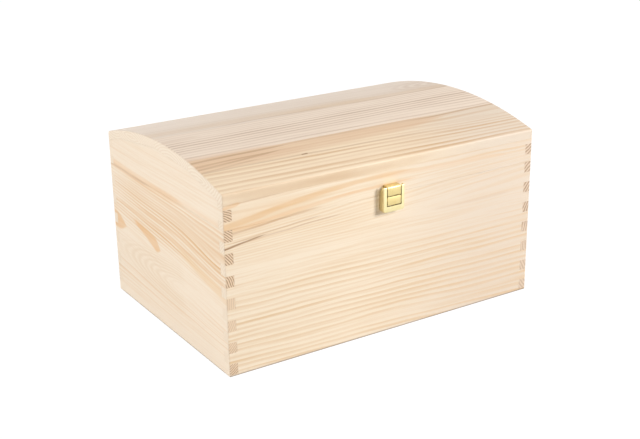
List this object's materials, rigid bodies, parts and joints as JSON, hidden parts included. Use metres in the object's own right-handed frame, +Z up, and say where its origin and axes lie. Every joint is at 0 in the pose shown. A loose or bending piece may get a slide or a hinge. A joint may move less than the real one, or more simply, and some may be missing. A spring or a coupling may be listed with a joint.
{
  "type": "sea chest",
  "caption": "Small bare-wood chest with finger-jointed walls, a hinged dome lid of curved staves, plain butt hinges behind and a brass clasp with a press button at the middle of the front",
  "frame": {"origin": "middle of the footprint of the walls, on the underside", "axes": "+X along the front, to the right as seen from the front; +Y from the front to the back; +Z up"},
  "size_m": [0.33, 0.2398, 0.1798],
  "materials": {
    "pine_ends": "bare sanded pine",
    "pine_walls": "bare sanded pine",
    "pine_top": "bare sanded pine",
    "plywood": "bare plywood",
    "clasp_brass": "bright plated sheet",
    "hinge_brass": "bright plated sheet",
    "spring_steel": "bare spring steel"
  },
  "bodies": {
    "box": {"front_board": "pine_walls", "back_board": "pine_walls", "left_board": "pine_ends", "right_board": "pine_ends", "bottom_panel": "plywood", "hinge_box_leaf_left": "hinge_brass", "hinge_box_leaf_right": "hinge_brass", "hinge_pin_left": "hinge_brass", "hinge_pin_right": "hinge_brass", "box_hinge_screw_left_1": "hinge_brass", "box_hinge_screw_left_2": "hinge_brass", "box_hinge_screw_right_1": "hinge_brass", "box_hinge_screw_right_2": "hinge_brass", "clasp_keeper": "clasp_brass"},
    "lid": {"lid_front_rail": "pine_walls", "lid_back_rail": "pine_walls", "lid_left_end": "pine_ends", "lid_right_end": "pine_ends", "lid_stave_1": "pine_top", "lid_stave_2": "pine_top", "lid_stave_3": "pine_top", "lid_stave_4": "pine_top", "hinge_lid_leaf_left": "hinge_brass", "hinge_lid_leaf_right": "hinge_brass", "lid_hinge_screw_left_1": "hinge_brass", "lid_hinge_screw_left_2": "hinge_brass", "lid_hinge_screw_right_1": "hinge_brass", "lid_hinge_screw_right_2": "hinge_brass", "clasp_lid_plate": "clasp_brass", "clasp_pin": "clasp_brass"},
    "hasp": {"clasp_hasp": "clasp_brass", "clasp_button_pin": "clasp_brass", "clasp_spring": "spring_steel"},
    "button": {"clasp_button": "clasp_brass", "clasp_catch": "spring_steel"}
  },
  "joints": [
    {"name": "lid_hinge", "type": "hinge", "parent": "box", "child": "lid", "pos_m": [0, 0.11655, 0.13207], "axis": [-1, 0, 0], "range_deg": [0, 180]},
    {"name": "hasp_hinge", "type": "hinge", "parent": "lid", "child": "hasp", "pos_m": [0, -0.1189, 0.13908], "axis": [-1, 0, 0], "range_deg": [0, 170], "deforming": ["clasp_catch"]},
    {"name": "button_press", "type": "hinge", "parent": "hasp", "child": "button", "pos_m": [0, -0.1193, 0.12607], "axis": [-1, 0, 0], "range_deg": [0, 14], "stiffness_Nm_per_rad": 0.01, "springref_deg": -17.19, "deforming": ["clasp_spring"]}
  ]
}
